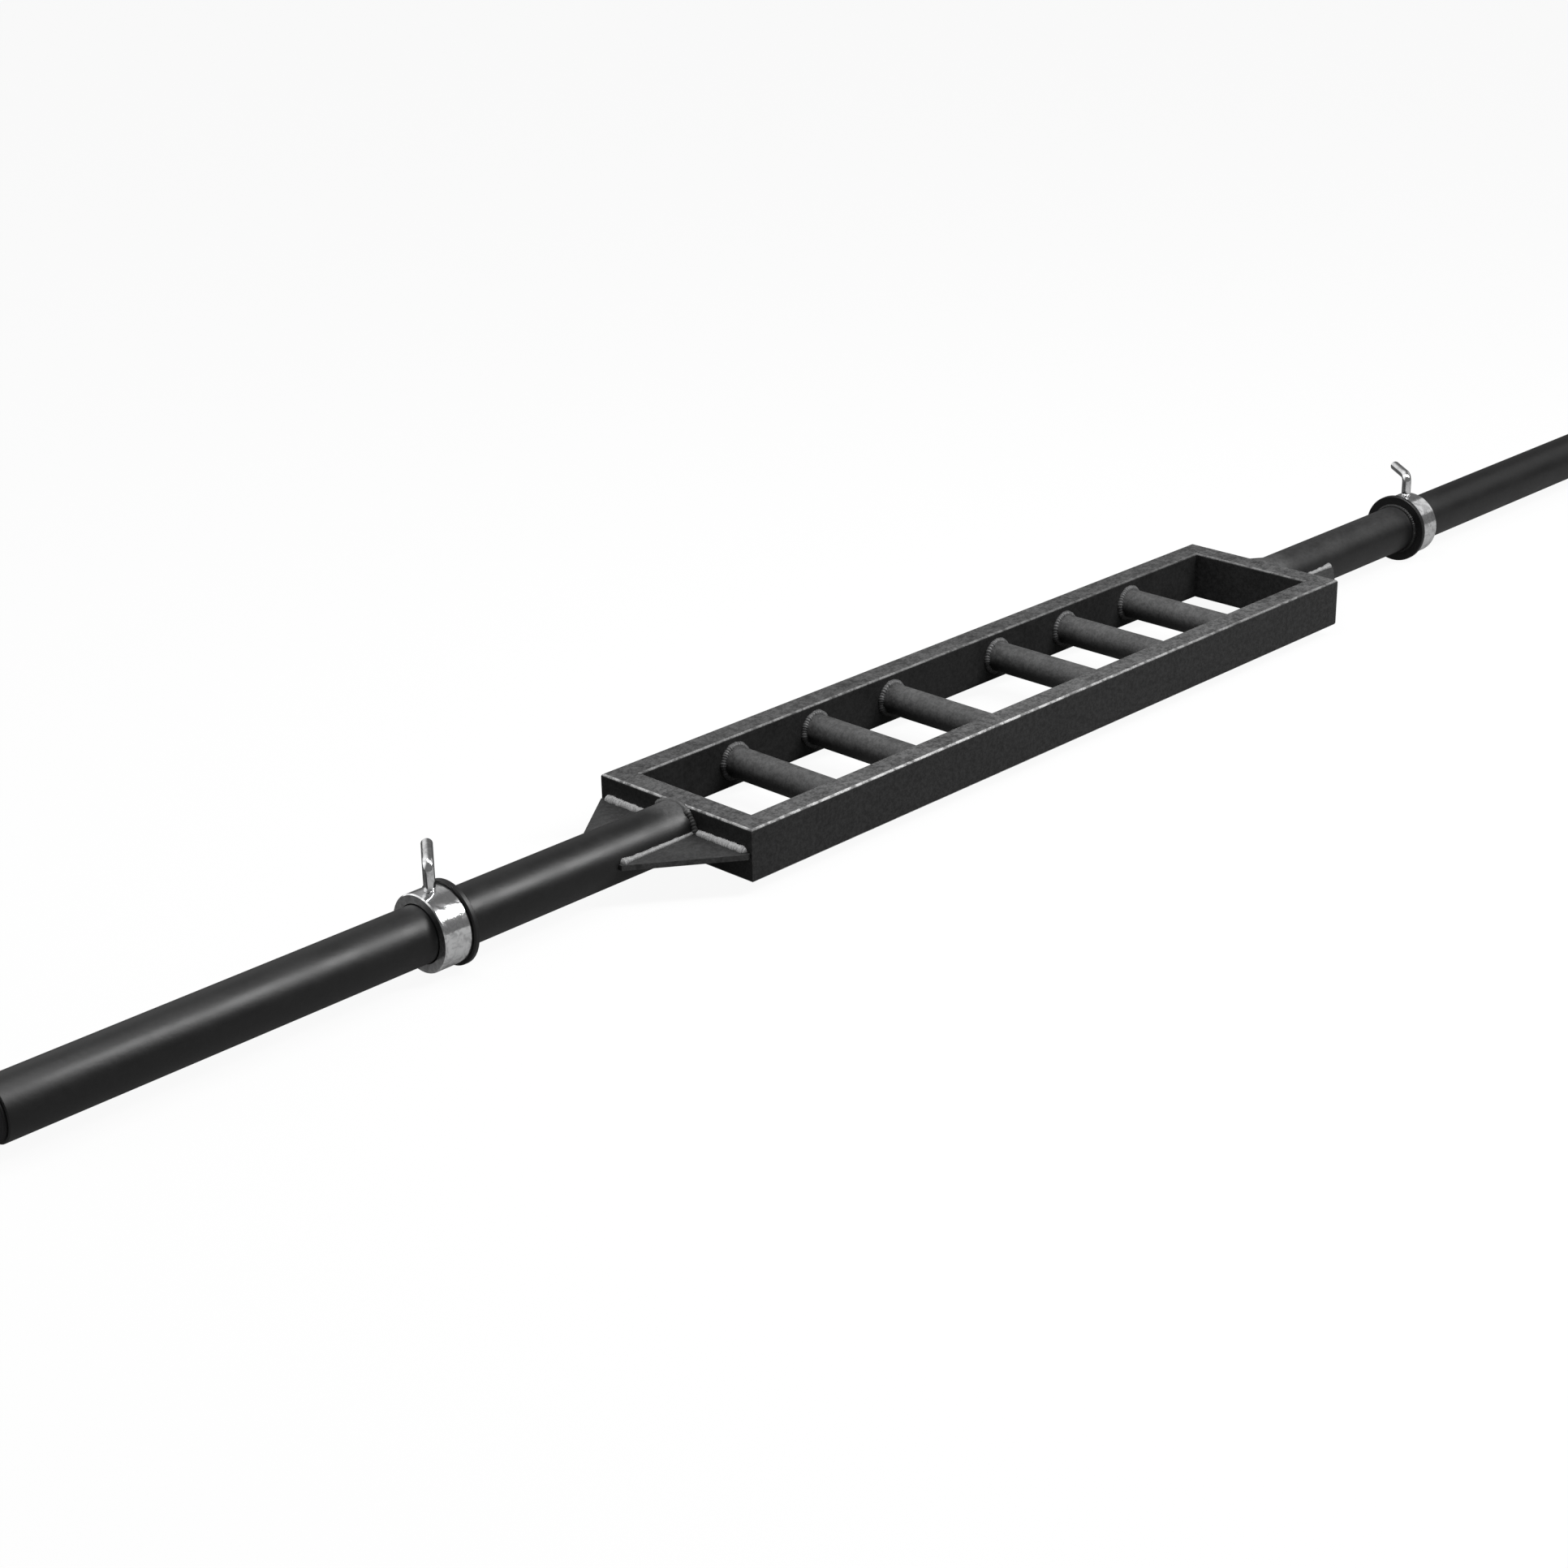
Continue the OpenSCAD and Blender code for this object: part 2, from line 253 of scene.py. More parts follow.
def bead(centres, normals, seed, closed, scale=1.0, calm=None, gain=None):
    """Weld bead along a path of centres in a corner. Its round section's radius
    is the bead radius, raised by crescent ripples that lag at the bead's edges,
    and by slow lumps, which fade at a closed bead's seam by a raised cosine. An
    open bead narrows to a rounded end, as the root of one less the square of the
    distance short of the end's radius. calm runs from 0 to 1 where the ripples
    are ground away, and gain makes stretches of it thicker."""
    weld = bpy.context.scene.barbell_weld
    r0 = weld.bead_radius * scale
    ahead = np.roll(centres, -1, 0) - np.roll(centres, 1, 0)
    if not closed:
        ahead[0], ahead[-1] = centres[1] - centres[0], centres[-1] - centres[-2]
    ahead /= np.linalg.norm(ahead, axis=1, keepdims=True)
    across = np.cross(ahead, normals)
    across /= np.linalg.norm(across, axis=1, keepdims=True)
    upward = np.cross(across, ahead)
    step = np.linalg.norm(np.diff(centres, axis=0, append=centres[:1]), axis=1)
    s = np.concatenate([[0], np.cumsum(step[:-1])])
    length = s[-1] + (step[-1] if closed else 0)
    pitch = length / max(3, round(length / weld.ripple_pitch))
    t = np.linspace(0, 2 * np.pi, BEAD_POINTS, endpoint=False)
    lag = 0.55 * (1 - np.sin(t))
    ripple = scallops(s[:, None] / pitch + lag[None] + 0.35 * np.sin(s[:, None] / (5.3 * MM) + seed))
    swell = 0.17 * lumps(s, seed)[:, None] * (1 + 0.4 * np.cos(t + seed))[None]
    if closed:
        seam = 8 * MM
        fade = 0.5 - 0.5 * np.cos(2 * np.pi * np.clip(s / seam, 0, 0.5))
        fade *= 0.5 - 0.5 * np.cos(2 * np.pi * np.clip((length - s) / seam, 0, 0.5))
        swell = swell * fade[:, None]
    rough = np.ones(len(s)) if calm is None else 1 - calm
    radius = r0 * (0.88 + rough[:, None] * (0.15 * ripple + swell) + 0.05 * (1 - rough)[:, None])
    if gain is not None:
        radius = radius * gain[:, None]
    if not closed:
        into = np.clip(np.minimum(s, length - s) / r0, 0.0, 1)
        radius = radius * np.sqrt(np.clip(1 - (1 - into) ** 2, 0.003, 1))[:, None]
    return sweep(centres, across, upward, radius, closed)


def ring_path(x, y, r, along, n):
    """Circle of radius r about a point on the axis' height. along is the axis:
    "x" gives a circle across the bar, "y" one across the frame. Returns the
    centres and the outward directions."""
    t = np.linspace(0, 2 * np.pi, n, endpoint=False)
    zero = np.zeros(n)
    if along == "x":
        out = np.stack([zero, np.sin(t), np.cos(t)], -1)
    else:
        out = np.stack([np.sin(t), zero, np.cos(t)], -1)
    return np.array([x, y, AXIS_Z]) + r * out, out


def grip_beads():
    """A closed bead round both ends of each grip, in the corner with the rail."""
    skins = []
    for number in range(1, 7):
        low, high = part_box(f"grip_{number}")
        x = (low.x + high.x) / 2
        for y, facing in ((low.y, 1), (high.y, -1)):
            centres, out = ring_path(x, y, GRIP_R, "y", GRIP_STATIONS)
            normals = out + np.array([0, facing, 0])
            skins.append(bead(centres, normals, number + 3.7 * facing, True, 1.05))
    return skins


def root_bead(side):
    """Closed bead round the tube's root. Where the tube stands as high as the
    end member, its path leaves the corner for the groove over the member's
    rounded edge, lies deeper, and is ground nearly flush."""
    sunk, inward = 1.75 * MM, 1.4 * MM
    t = np.linspace(0, 2 * np.pi, TUBE_STATIONS, endpoint=False)
    over = np.clip((np.abs(np.cos(t)) * TUBE_R - (RAIL_HALF_H - 2.2 * CORNER_R)) / (2.0 * CORNER_R), 0, 1)
    over = over * over * (3 - 2 * over)
    r = TUBE_R - sunk * over
    x = side * (FRAME_END - inward * over)
    centres = np.stack([x, r * np.sin(t), AXIS_Z + r * np.cos(t)], -1)
    normals = np.stack([np.full(TUBE_STATIONS, float(side)), np.sin(t), np.cos(t)], -1)
    return bead(centres, normals, 5.1 + side, True, 1.05, over)


def gusset_beads(side, face):
    """Beads of one gusset, over and under the plate. Those along the tube grow
    from the root to a blob at the plate's tip, by a bell curve of the distance
    to it, and the others run along the end member. Those under the plate stop
    shorter. Returns both kinds."""
    along_tube, along_member = [], []
    run = np.linspace(0, 1, GUSSET_STATIONS)
    lift = GUSSET_HALF_T + 0.2 * MM
    start = 2.0 * MM
    for up in (-1, 1):
        shorter = 12 * MM * (up < 0)
        xs = FRAME_END + start + (GUSSET_END - FRAME_END - 3.5 * MM - shorter) * run
        angle = math.asin(lift / TUBE_R)
        zs = 0 * xs + up * lift
        centres = np.stack([side * xs, 0 * xs + face * TUBE_R * math.cos(angle), AXIS_Z + zs], -1)
        normals = np.tile([0, face, 0.8 * up], (len(xs), 1)).astype(float)
        blob = np.exp(-((xs - xs[-1] + 4 * MM) / (5 * MM)) ** 2)
        gain = 0.55 + 0.28 * run + 0.40 * blob
        seed = 2.2 + 1.3 * side + 0.7 * face + up
        along_tube.append(bead(centres, normals, seed, False, gain=gain))
        ys = TUBE_R + start + (GUSSET_SIDE - TUBE_R - 6.0 * MM - 0.6 * shorter) * run
        centres = np.stack([0 * ys + side * FRAME_END, face * ys, AXIS_Z + up * GUSSET_HALF_T + 0 * ys], -1)
        normals = np.tile([side, 0, up], (len(ys), 1)).astype(float)
        seed = 7.9 + side + 0.6 * face + up
        along_member.append(bead(centres, normals, seed, False, 1.3, gain=0.9 + 0.2 * run))
    return along_tube, along_member


def ring_beads(side):
    """Closed bead in the corner of the neck and the stop ring, frame side."""
    centres, out = ring_path(side * RING_X, 0, TUBE_R, "x", TUBE_STATIONS)
    return [bead(centres, out + np.array([-side, 0, 0]), 1.9 * side, True, 0.85)]


def bent_screw(side):
    """Rod carried along a path that goes up the screw's axis, round a quarter
    bend and out along the crank. Its radius is the rod's, less the chamfers at
    both ends, and less a helical groove: the groove's depth is a clipped
    triangle wave of the height in pitches less the turn round the rod."""
    s = bpy.context.scene.barbell_screw
    label = "left" if side < 0 else "right"
    low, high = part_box(f"{label}_clamp_screw")
    foot, arm_z = low.z, high.z - s.radius
    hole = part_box(f"{label}_collar")
    x0 = (hole[0].x + hole[1].x) / 2
    thread_top = hole[1].z + 3.2 * MM
    bend_z = arm_z - s.bend_radius
    chamfer, end_chamfer, pole = 0.8 * MM, MM, 0.02 * MM
    fade_in, fade_out = 1.2 * MM, 1.6 * MM
    rise = np.concatenate([[0, 0, chamfer], np.linspace(chamfer, thread_top + MM - foot, 130)[1:],
                           np.linspace(thread_top + fade_out - foot, bend_z - foot, 8)])
    a = np.linspace(0, np.pi / 2, 26)[1:]
    out = np.concatenate([0 * rise, s.bend_radius * (1 - np.cos(a)),
                          np.linspace(s.bend_radius, s.reach - end_chamfer, 14)[1:],
                          [s.reach, s.reach]])
    arm = len(out) - len(rise) - len(a)
    up = np.concatenate([foot + rise, bend_z + s.bend_radius * np.sin(a), np.full(arm, arm_z)])
    tilt = np.concatenate([0 * rise, a, np.full(arm, np.pi / 2)])
    heading = np.array([math.cos(s.turn), math.sin(s.turn), 0])
    centres = np.array([x0, 0, 0]) + out[:, None] * heading + up[:, None] * np.array([0, 0, 1])
    across = np.tile(np.cross([0, 0, 1], heading), (len(out), 1))
    upward = -np.cos(tilt)[:, None] * heading + np.sin(tilt)[:, None] * np.array([0, 0, 1])
    radius = np.full(len(out), s.radius)
    radius[0], radius[1] = pole, s.radius - chamfer
    radius[-2], radius[-1] = s.radius - end_chamfer, pole
    turn = np.linspace(0, 1, ROD_POINTS, endpoint=False)
    wave = np.abs(2 * (((up - foot)[:, None] / s.thread_pitch - turn[None]) % 1) - 1)
    groove = np.clip(1.35 * wave - 0.2, 0, 1)
    ends = np.clip((up - foot - 0.3 * MM) / fade_in, 0, 1) * np.clip((thread_top - up) / fade_out, 0, 1)
    ends[out > 0] = 0
    radius = radius[:, None] - s.thread_depth * groove * ends[:, None]
    return [sweep(centres, across, upward, radius, False)]


# ---------------------------------------------------------------- materials


# Grain of each coat: speckles and orange peel to the metre, and bump height
FRAME_GRAIN = {"speckle": 480.0, "peel": 260.0, "bump": 0.00025}
TUBE_GRAIN = {"speckle": 420.0, "peel": 240.0, "bump": 0.00008}
WELD_GRAIN = {"speckle": 800.0, "peel": 300.0, "bump": 0.00015}
RING_WELD_GRAIN = {"speckle": 800.0, "peel": 300.0, "bump": 0.0001}

# Where the painted highlight on the tubes' tops fades out: past the frame, and past the stop ring
ROOT_HIGHLIGHT = (FRAME_END + 6 * MM, FRAME_END + 40 * MM)
NECK_HIGHLIGHT = (RING_X, RING_X + 90 * MM)

# The painted highlight on the box section's edges weakens from the first of these places along the bar to
# the second, where this share of it is left
EDGE_HIGHLIGHT_FADE = (-0.15, 0.32)
EDGE_HIGHLIGHT_LEFT = 0.3


def new_group(name, inputs, outputs):
    """Empty shader node group with named float and vector sockets."""
    group = bpy.data.node_groups.new(name, "ShaderNodeTree")
    for label, kind, value in inputs:
        socket = group.interface.new_socket(label, in_out="INPUT", socket_type=kind)
        if value is not None:
            socket.default_value = value
    for label, kind in outputs:
        group.interface.new_socket(label, in_out="OUTPUT", socket_type=kind)
    return group, group.nodes.new("NodeGroupInput"), group.nodes.new("NodeGroupOutput")


def feed(tree, socket, value):
    """Links another socket to an input, or sets the input to a plain value."""
    if isinstance(value, bpy.types.NodeSocket):
        tree.links.new(value, socket)
    elif value is not None:
        socket.default_value = value


def add_math(tree, operation, a, b=None, c=None, clamp=False):
    """Math node whose inputs are sockets or plain numbers."""
    node = tree.nodes.new("ShaderNodeMath")
    node.operation = operation
    node.use_clamp = clamp
    for index, value in enumerate((a, b, c)):
        feed(tree, node.inputs[index], value)
    return node.outputs[0]


def times(tree, a, b):
    """Product of two sockets or plain numbers."""
    return add_math(tree, "MULTIPLY", a, b)


def plus(tree, a, b):
    """Sum of two sockets or plain numbers."""
    return add_math(tree, "ADD", a, b)


def add_noise(tree, vector, scale, detail=2.0, roughness=0.5, distortion=0.0):
    """Noise texture's value; scale is a socket or a plain number."""
    node = tree.nodes.new("ShaderNodeTexNoise")
    for label, value in (("Vector", vector), ("Scale", scale), ("Detail", detail),
                         ("Roughness", roughness), ("Distortion", distortion)):
        feed(tree, node.inputs[label], value)
    return node.outputs["Fac"]


def add_range(tree, value, low, high, to_low=0.0, to_high=1.0):
    """Map Range node, smooth and clamped, of sockets or plain numbers."""
    node = tree.nodes.new("ShaderNodeMapRange")
    node.interpolation_type = "SMOOTHSTEP"
    for label, number in (("Value", value), ("From Min", low), ("From Max", high),
                          ("To Min", to_low), ("To Max", to_high)):
        feed(tree, node.inputs[label], number)
    return node.outputs["Result"]


def add_mix(tree, factor, a, b):
    """Colour mix of two sockets or plain colours."""
    node = tree.nodes.new("ShaderNodeMix")
    node.data_type = "RGBA"
    feed(tree, node.inputs["Factor"], factor)
    for label, value in (("A", a), ("B", b)):
        socket = [i for i in node.inputs if i.name == label and i.type == "RGBA"][0]
        feed(tree, socket, value if isinstance(value, bpy.types.NodeSocket) else (*value, 1))
    return [o for o in node.outputs if o.type == "RGBA"][0]


def parts_of(tree, vector):
    """The three parts of a vector."""
    node = tree.nodes.new("ShaderNodeSeparateXYZ")
    tree.links.new(vector, node.inputs[0])
    return node.outputs


def coat_grain_group():
    """Powder coat's grain. Out come a fine speckle, a slow cloudiness and a
    height that holds the speckle and a coarser orange peel."""
    group, given, out = new_group(
        "coat_grain",
        [("Vector", "NodeSocketVector", None), ("Speckle Scale", "NodeSocketFloat", 900.0),
         ("Peel Scale", "NodeSocketFloat", 320.0)],
        [("Speckle", "NodeSocketFloat"), ("Cloud", "NodeSocketFloat"), ("Height", "NodeSocketFloat")])
    vector, scale = given.outputs["Vector"], given.outputs["Speckle Scale"]
    fine = add_noise(group, vector, scale, 2.0, 0.6)
    coarse = add_noise(group, vector, times(group, scale, 0.42), 2.0, 0.5)
    speckle = plus(group, times(group, fine, 0.5), times(group, coarse, 0.5))
    peel = add_noise(group, vector, given.outputs["Peel Scale"], 1.0, 0.4)
    cloud = add_noise(group, vector, 22.0, 3.0, 0.55, 0.3)
    height = plus(group, times(group, speckle, 0.6), times(group, peel, 0.8))
    group.links.new(add_range(group, speckle, 0.36, 0.64), out.inputs["Speckle"])
    group.links.new(add_range(group, cloud, 0.3, 0.7), out.inputs["Cloud"])
    group.links.new(height, out.inputs["Height"])


def edge_highlight_group():
    """Painted highlight on rounded edges: how far the surface's own normal is from all three axes, broken up
    by noise."""
    group, given, out = new_group(
        "edge_rub",
        [("Vector", "NodeSocketVector", None), ("Normal", "NodeSocketVector", None),
         ("Start", "NodeSocketFloat", 0.03), ("Full", "NodeSocketFloat", 0.14)],
        [("Mask", "NodeSocketFloat")])
    absolute = group.nodes.new("ShaderNodeVectorMath")
    absolute.operation = "ABSOLUTE"
    group.links.new(given.outputs["Normal"], absolute.inputs[0])
    x, y, z = parts_of(group, absolute.outputs[0])
    most = add_math(group, "MAXIMUM", add_math(group, "MAXIMUM", x, y), z)
    slope = add_math(group, "SUBTRACT", 1.0, most)
    level = add_range(group, slope, given.outputs["Start"], given.outputs["Full"])
    vector = given.outputs["Vector"]
    patchy_highlight = add_range(group, add_noise(group, vector, 110.0, 4.0, 0.6), 0.36, 0.60, 0.2, 1.0)
    fine = add_range(group, add_noise(group, vector, 700.0, 1.0), 0.3, 0.65, 0.6, 1.0)
    group.links.new(times(group, times(group, level, patchy_highlight), fine), out.inputs["Mask"])


def painted_top_light_group():
    """Painted top light on faces that look up, a lighter colour for the light that falls on them: the height
    of the surface's own normal, broken up by a slow noise."""
    group, given, out = new_group(
        "settled_dust",
        [("Vector", "NodeSocketVector", None), ("Normal", "NodeSocketVector", None),
         ("Low", "NodeSocketFloat", 0.25), ("High", "NodeSocketFloat", 0.95)],
        [("Mask", "NodeSocketFloat")])
    up = parts_of(group, given.outputs["Normal"])[2]
    facing = add_range(group, up, given.outputs["Low"], given.outputs["High"])
    slow = add_noise(group, given.outputs["Vector"], 30.0, 4.0, 0.6)
    drift = add_range(group, slow, 0.25, 0.7, 0.7, 1.0)
    group.links.new(times(group, facing, drift), out.inputs["Mask"])


def turned_plate_group():
    """Bright plate on turned steel: lathe lines that follow the distance along
    the bar plus the distance from its axis, patches of duller zinc, and scuffs."""
    group, given, out = new_group(
        "turned_plate",
        [("Vector", "NodeSocketVector", None), ("Line Scale", "NodeSocketFloat", 1500.0)],
        [("Patch", "NodeSocketFloat"), ("Line", "NodeSocketFloat"), ("Scuff", "NodeSocketFloat")])
    vector = given.outputs["Vector"]
    x, y, z = parts_of(group, vector)
    squares = plus(group, add_math(group, "POWER", y, 2.0), add_math(group, "POWER", z, 2.0))
    way = plus(group, x, add_math(group, "SQRT", squares))
    lines = group.nodes.new("ShaderNodeTexNoise")
    lines.noise_dimensions = "1D"
    for label, value in (("W", way), ("Scale", given.outputs["Line Scale"]), ("Detail", 3.0)):
        feed(group, lines.inputs[label], value)
    patch = add_range(group, add_noise(group, vector, 130.0, 4.0, 0.62, 0.8), 0.40, 0.62)
    scuff = add_range(group, add_noise(group, vector, 420.0, 3.0, 0.6, 1.2), 0.45, 0.75)
    group.links.new(patch, out.inputs["Patch"])
    group.links.new(lines.outputs["Fac"], out.inputs["Line"])
    group.links.new(scuff, out.inputs["Scuff"])


def make_groups():
    """Builds each shared effect once."""
    for name, build in (("coat_grain", coat_grain_group), ("edge_rub", edge_highlight_group),
                        ("settled_dust", painted_top_light_group), ("turned_plate", turned_plate_group)):
        if name not in bpy.data.node_groups:
            build()


def start_material(name, **constants):
    """Material with a Principled BSDF whose constants stand on its own sockets."""
    material = bpy.data.materials.new(name)
    material.use_nodes = True
    shader = material.node_tree.nodes["Principled BSDF"]
    for label, value in constants.items():
        shader.inputs[label.replace("_", " ")].default_value = value
    coords = material.node_tree.nodes.new("ShaderNodeTexCoord")
    return material, material.node_tree, shader, coords


def centred(tree, coords, centre):
    """Object coordinates measured from a point on the piece."""
    node = tree.nodes.new("ShaderNodeMapping")
    node.inputs["Location"].default_value = [-c for c in centre]
    tree.links.new(coords.outputs["Object"], node.inputs["Vector"])
    return node.outputs["Vector"]


def place_group(tree, name, **values):
    """Node of a shared group with its own values, which are sockets or numbers."""
    node = tree.nodes.new("ShaderNodeGroup")
    node.node_tree = bpy.data.node_groups[name]
    for label, value in values.items():
        feed(tree, node.inputs[label.replace("_", " ")], value)
    return node


def add_bump(tree, shader, height, distance):
    """Bump node at full strength from a height to the shader's Normal."""
    node = tree.nodes.new("ShaderNodeBump")
    node.inputs["Distance"].default_value = distance
    node.inputs["Strength"].default_value = 1.0
    tree.links.new(height, node.inputs["Height"])
    tree.links.new(node.outputs["Normal"], shader.inputs["Normal"])


def add_roughness(tree, shader, mask, rough):
    """Roughness that runs from the first to the second value with a mask."""
    tree.links.new(add_range(tree, mask, 0.0, 1.0, *rough), shader.inputs["Roughness"])


def scaled(colour, share):
    """A colour with each of its parts times a share."""
    return [share * c for c in colour]


def shades(colour, contrast):
    """A darker and a lighter shade of a colour, the same share below and above it."""
    return scaled(colour, 1 - contrast), scaled(colour, 1 + contrast)


def coat_material(name, colour, speckle, peel, bump, contrast, rough, level, top_light=None, edge_highlight=None,
                  near=None, neck=0.0, reach=(0.25, 0.95)):
    """Black powder coat: the colour varies with the grain's speckle and cloud, the roughness with the cloud,
    and the height makes the bump. Painted top light, a lighter colour, lies on the faces that look up, by
    the reach of their normal's height. It lies everywhere, or else near the frame as a painted highlight on
    the tube's top, and with the share neck from there to the stop ring. The rounded edges get a painted
    highlight, the less the further right."""
    material, tree, shader, coords = start_material(name, Metallic=0.0, Specular_IOR_Level=level)
    place, normal = coords.outputs["Object"], coords.outputs["Normal"]
    grain = place_group(tree, "coat_grain", Vector=place, Speckle_Scale=speckle, Peel_Scale=peel)
    tone = plus(tree, times(tree, grain.outputs["Speckle"], 0.75), times(tree, grain.outputs["Cloud"], 0.25))
    base = add_mix(tree, tone, *shades(colour, contrast))
    along = parts_of(tree, place)[0] if near or edge_highlight else None
    # Painted top light: a lighter shade of the coat on the faces that look up
    if top_light:
        top_light_share = place_group(tree, "settled_dust", Vector=place, Normal=normal, Low=reach[0], High=reach[1])
        mask = top_light_share.outputs["Mask"]
        # Painted highlight on the tube's top by the frame, then the neck's share of it, gone past the stop
        # ring
        if near:
            away = add_math(tree, "ABSOLUTE", along)
            mask = times(tree, mask, add_range(tree, away, *near, 1.0, neck))
            mask = times(tree, mask, add_range(tree, away, *NECK_HIGHLIGHT, 1.0, 0.0))
        base = add_mix(tree, mask, base, add_mix(tree, tone, *shades(top_light, contrast)))
    # Painted highlight on the rounded edges, weaker towards the right
    if edge_highlight:
        patchy_highlight = place_group(tree, "edge_rub", Vector=place, Normal=normal)
        share = add_range(tree, along, *EDGE_HIGHLIGHT_FADE, 1.0, EDGE_HIGHLIGHT_LEFT)
        base = add_mix(tree, times(tree, patchy_highlight.outputs["Mask"], share), base, edge_highlight)
    tree.links.new(base, shader.inputs["Base Color"])
    add_roughness(tree, shader, grain.outputs["Cloud"], rough)
    add_bump(tree, shader, grain.outputs["Height"], bump)
    return material


def zinc_material(name, centre, rough, bump, dent):
    """Zinc plate: bright metal with dull patches and scuffs, and lathe lines or
    draw marks and shallow dents in its height."""
    plate = bpy.context.scene.barbell_plate
    material, tree, shader, coords = start_material(name, Metallic=1.0)
    marks = place_group(tree, "turned_plate", Vector=centred(tree, coords, centre)).outputs
    base = add_mix(tree, marks["Patch"], plate.zinc_colour, plate.dull_colour)
    base = add_mix(tree, times(tree, marks["Scuff"], 0.45), base, (0.92, 0.92, 0.925))
    tree.links.new(base, shader.inputs["Base Color"])
    add_roughness(tree, shader, marks["Patch"], rough)
    dents = add_noise(tree, coords.outputs["Object"], 240.0, 3.0, 0.55)
    fine = plus(tree, marks["Line"], times(tree, marks["Scuff"], 0.5))
    add_bump(tree, shader, plus(tree, fine, times(tree, dents, dent)), bump)
    return material


def brass_material():
    """Turned brass of the shoes, with darker spots of handling."""
    material, tree, shader, coords = start_material("shoe_brass", Metallic=1.0)
    spots = add_range(tree, add_noise(tree, coords.outputs["Object"], 260.0, 4.0, 0.6), 0.42, 0.7)
    base = add_mix(tree, spots, (0.74, 0.55, 0.27), (0.42, 0.29, 0.13))
    tree.links.new(base, shader.inputs["Base Color"])
    add_roughness(tree, shader, spots, (0.28, 0.5))
    add_bump(tree, shader, add_noise(tree, coords.outputs["Object"], 1800.0, 2.0), 0.00004)
    return material


def cap_material():
    """Moulded black plastic of the end caps: fine spark-eroded grain."""
    material, tree, shader, coords = start_material("cap_plastic", Metallic=0.0, Specular_IOR_Level=0.3)
    grain = add_noise(tree, coords.outputs["Object"], 1400.0, 2.0)
    base = add_mix(tree, grain, (0.010, 0.010, 0.010), (0.026, 0.026, 0.027))
    tree.links.new(base, shader.inputs["Base Color"])
    tree.links.new(add_range(tree, grain, 0.3, 0.7, 0.5, 0.68), shader.inputs["Roughness"])
    add_bump(tree, shader, grain, 0.00006)
    return material


def give(material, *names):
    """Puts a material in the slots of CAD nodes."""
    for name in names:
        mesh = NODES[name].data
        mesh.materials.clear()
        mesh.materials.append(material)


# ---------------------------------------------------------------- operators


# Each member's share of the frame's colour, of the painted top light and of the painted edge highlight:
# shares below one paint shade on the members that lie in shade
MEMBER_LIGHT_SHARES = {
    "front_rail": (1.0, 1.0, 1.0),
    "left_end_member": (0.8, 0.97, 1.0),
    "right_end_member": (0.9, 0.88, 1.0),
    "back_rail": (0.5, 0.80, 0.4),
}

# Share of the painted top light that lies on the grips, and of the painted highlight on the neck at each end
GRIP_TOP_LIGHT = 0.93
NECK_HIGHLIGHT_SHARES = {"left": 0.0, "right": 0.25}

# How bright the gussets' beads are along the end member and along the tube, and the bead round the tube's
# root: lit and shaded copies of one weld coat, painted brightest on the member's beads where the key lamp's
# shadow falls on them
WELD_LIGHT_SHARES = {"bright_weld": 1.0, "pale_weld": 0.45, "root_weld": 0.12}


class BARBELL_OT_studio(bpy.types.Operator):
    """Sets the camera at the photograph's angle, the pale floor, the room and the softboxes"""

    bl_idname = "barbell.studio"
    bl_label = "Set the studio"

    def execute(self, context):
        studio = context.scene.barbell_studio
        context.scene.view_settings.view_transform = "Standard"
        place_camera(context.scene, studio)
        light_room(context.scene, studio)
        lay_floor(context.scene)
        for name, place in SOFTBOXES.items():
            hang_softbox(context.scene, f"{name}_softbox", getattr(studio, f"{name}_power"), *place)
        return {"FINISHED"}


class BARBELL_OT_coat(bpy.types.Operator):
    """Coats the frame, gussets, grips, tubes and stop rings"""

    bl_idname = "barbell.coat"
    bl_label = "Coat the bar"

    def execute(self, context):
        make_groups()
        coat = context.scene.barbell_coat
        # Darker copies of the frame coat on the members in shade are painted shade
        for name, (tone, top_light_share, edge_highlight) in MEMBER_LIGHT_SHARES.items():
            give(coat_material(f"{name}_coat", scaled(coat.frame_colour, tone), **FRAME_GRAIN,
                               contrast=0.66, rough=(0.58, 0.72), level=0.33,
                               top_light=scaled(coat.top_light_colour, top_light_share), edge_highlight=scaled(coat.edge_highlight_colour, edge_highlight)),
                 name)
        # The grips' painted top light reaches from under their sides over their tops, lightening all but
        # their undersides as painted light
        give(coat_material("grip_coat", coat.frame_colour, **FRAME_GRAIN, contrast=0.42,
                           rough=(0.50, 0.66), level=0.45, top_light=scaled(coat.top_light_colour, GRIP_TOP_LIGHT),
                           reach=(-0.35, 0.35)),
             *[f"grip_{number}" for number in range(1, 7)])
        # The gussets get a weaker painted top light, as painted shade where they lie under the member and
        # tube, and the top light's colour as their painted edge highlight
        give(coat_material("gusset_coat", coat.frame_colour, **FRAME_GRAIN, contrast=0.50,
                           rough=(0.50, 0.66), level=0.4, top_light=coat.gusset_top_light, edge_highlight=coat.top_light_colour),
             *[f"{side}_{face}_gusset" for side in SIDES for face in ("front", "back")])
        smooth = {**TUBE_GRAIN, "contrast": 0.35, "rough": (0.40, 0.46), "level": 0.46}
        # Each tube gets the top light's colour as a painted highlight on its top by the frame and, with its
        # share, along the neck
        for side, neck in NECK_HIGHLIGHT_SHARES.items():
            give(coat_material(f"{side}_tube_coat", coat.tube_colour, **smooth,
                               top_light=coat.top_light_colour, near=ROOT_HIGHLIGHT, neck=neck),
                 f"{side}_tube")
        give(coat_material("ring_coat", coat.tube_colour, **smooth), "left_stop_ring", "right_stop_ring")
        return {"FINISHED"}


